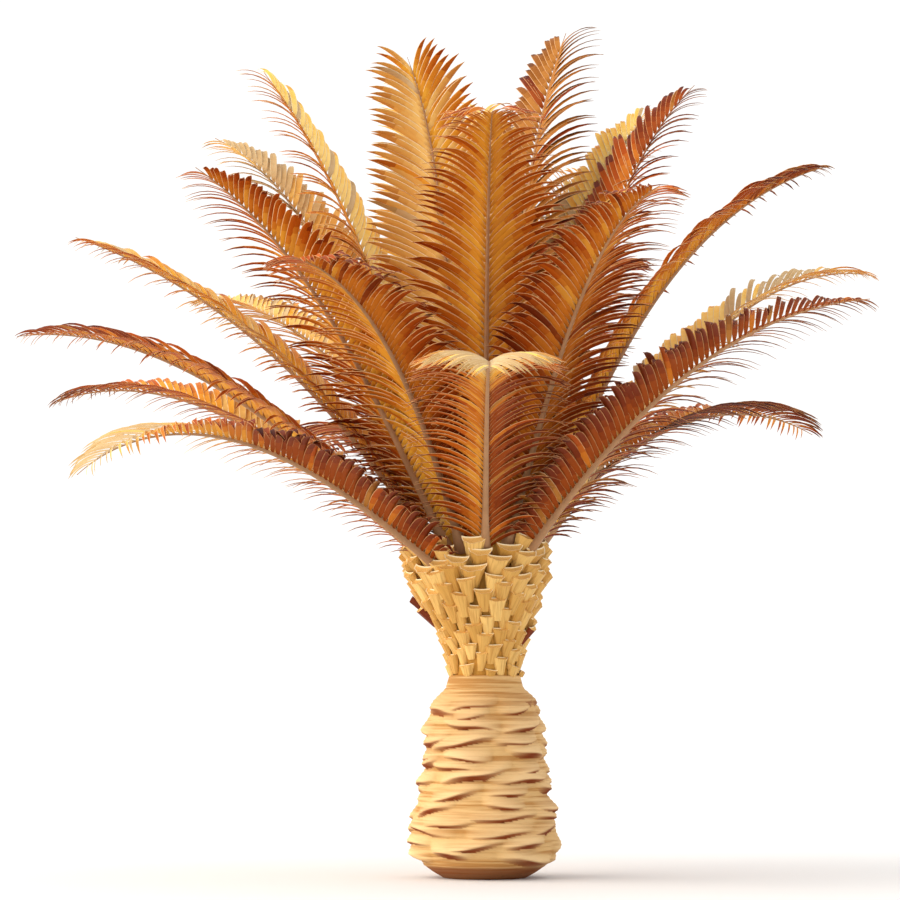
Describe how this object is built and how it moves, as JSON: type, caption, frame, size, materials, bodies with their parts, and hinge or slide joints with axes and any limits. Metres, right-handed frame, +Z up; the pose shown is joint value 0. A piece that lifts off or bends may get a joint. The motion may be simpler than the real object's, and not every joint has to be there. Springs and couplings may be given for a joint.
{
  "type": "canary island date palm",
  "caption": "Young feather palm: swollen scarred trunk, flaring collar of pruned leaf bases, and a full crown of arching fronds.",
  "frame": {"origin": "middle of the flat cut under the trunk, at ground level", "axes": "+Z up along the trunk; -Y is the front, towards the lowest frond that arches to the viewer; +X to the right of the front"},
  "size_m": [7.0602, 7.8512, 6.9669],
  "materials": {
    "bark": "dry, tan, slightly fibrous bark with old scar folds, matt",
    "leaf_base": "dry golden leaf bases with a soft sheen and paler cut faces",
    "heart_fibre": "dull brown leaf-sheath fibre, matt",
    "frond": "stiff dry amber to russet leaflets on a pale rib, satin"
  },
  "bodies": {
    "root": {"trunk": "bark", "leaf_base_collar": "leaf_base", "crown_heart": "heart_fibre", "inner_frond_1": "frond", "inner_frond_2": "frond", "inner_frond_3_foot": "frond", "inner_frond_3_tip": "frond", "inner_frond_4": "frond", "inner_frond_5": "frond", "inner_frond_6": "frond", "inner_frond_7": "frond", "middle_frond_10_foot": "frond", "middle_frond_10_tip": "frond", "middle_frond_11_foot": "frond", "middle_frond_11_tip": "frond", "middle_frond_1_foot": "frond", "middle_frond_1_tip": "frond", "middle_frond_2": "frond", "middle_frond_3": "frond", "middle_frond_4": "frond", "middle_frond_5_foot": "frond", "middle_frond_5_tip": "frond", "middle_frond_6_foot": "frond", "middle_frond_6_tip": "frond", "middle_frond_7_foot": "frond", "middle_frond_7_tip": "frond", "middle_frond_8": "frond", "middle_frond_9": "frond", "outer_frond_1_foot": "frond", "outer_frond_1_tip": "frond", "outer_frond_2_foot": "frond", "outer_frond_2_tip": "frond", "outer_frond_3_foot": "frond", "outer_frond_3_tip": "frond", "outer_frond_4_foot": "frond", "outer_frond_4_tip": "frond", "outer_frond_5_foot": "frond", "outer_frond_5_tip": "frond", "outer_frond_6_foot": "frond", "outer_frond_6_tip": "frond", "outer_frond_7_foot": "frond", "outer_frond_7_tip": "frond", "outer_frond_8_foot": "frond", "outer_frond_8_tip": "frond", "outer_frond_9_foot": "frond", "outer_frond_9_tip": "frond"}
  },
  "joints": []
}
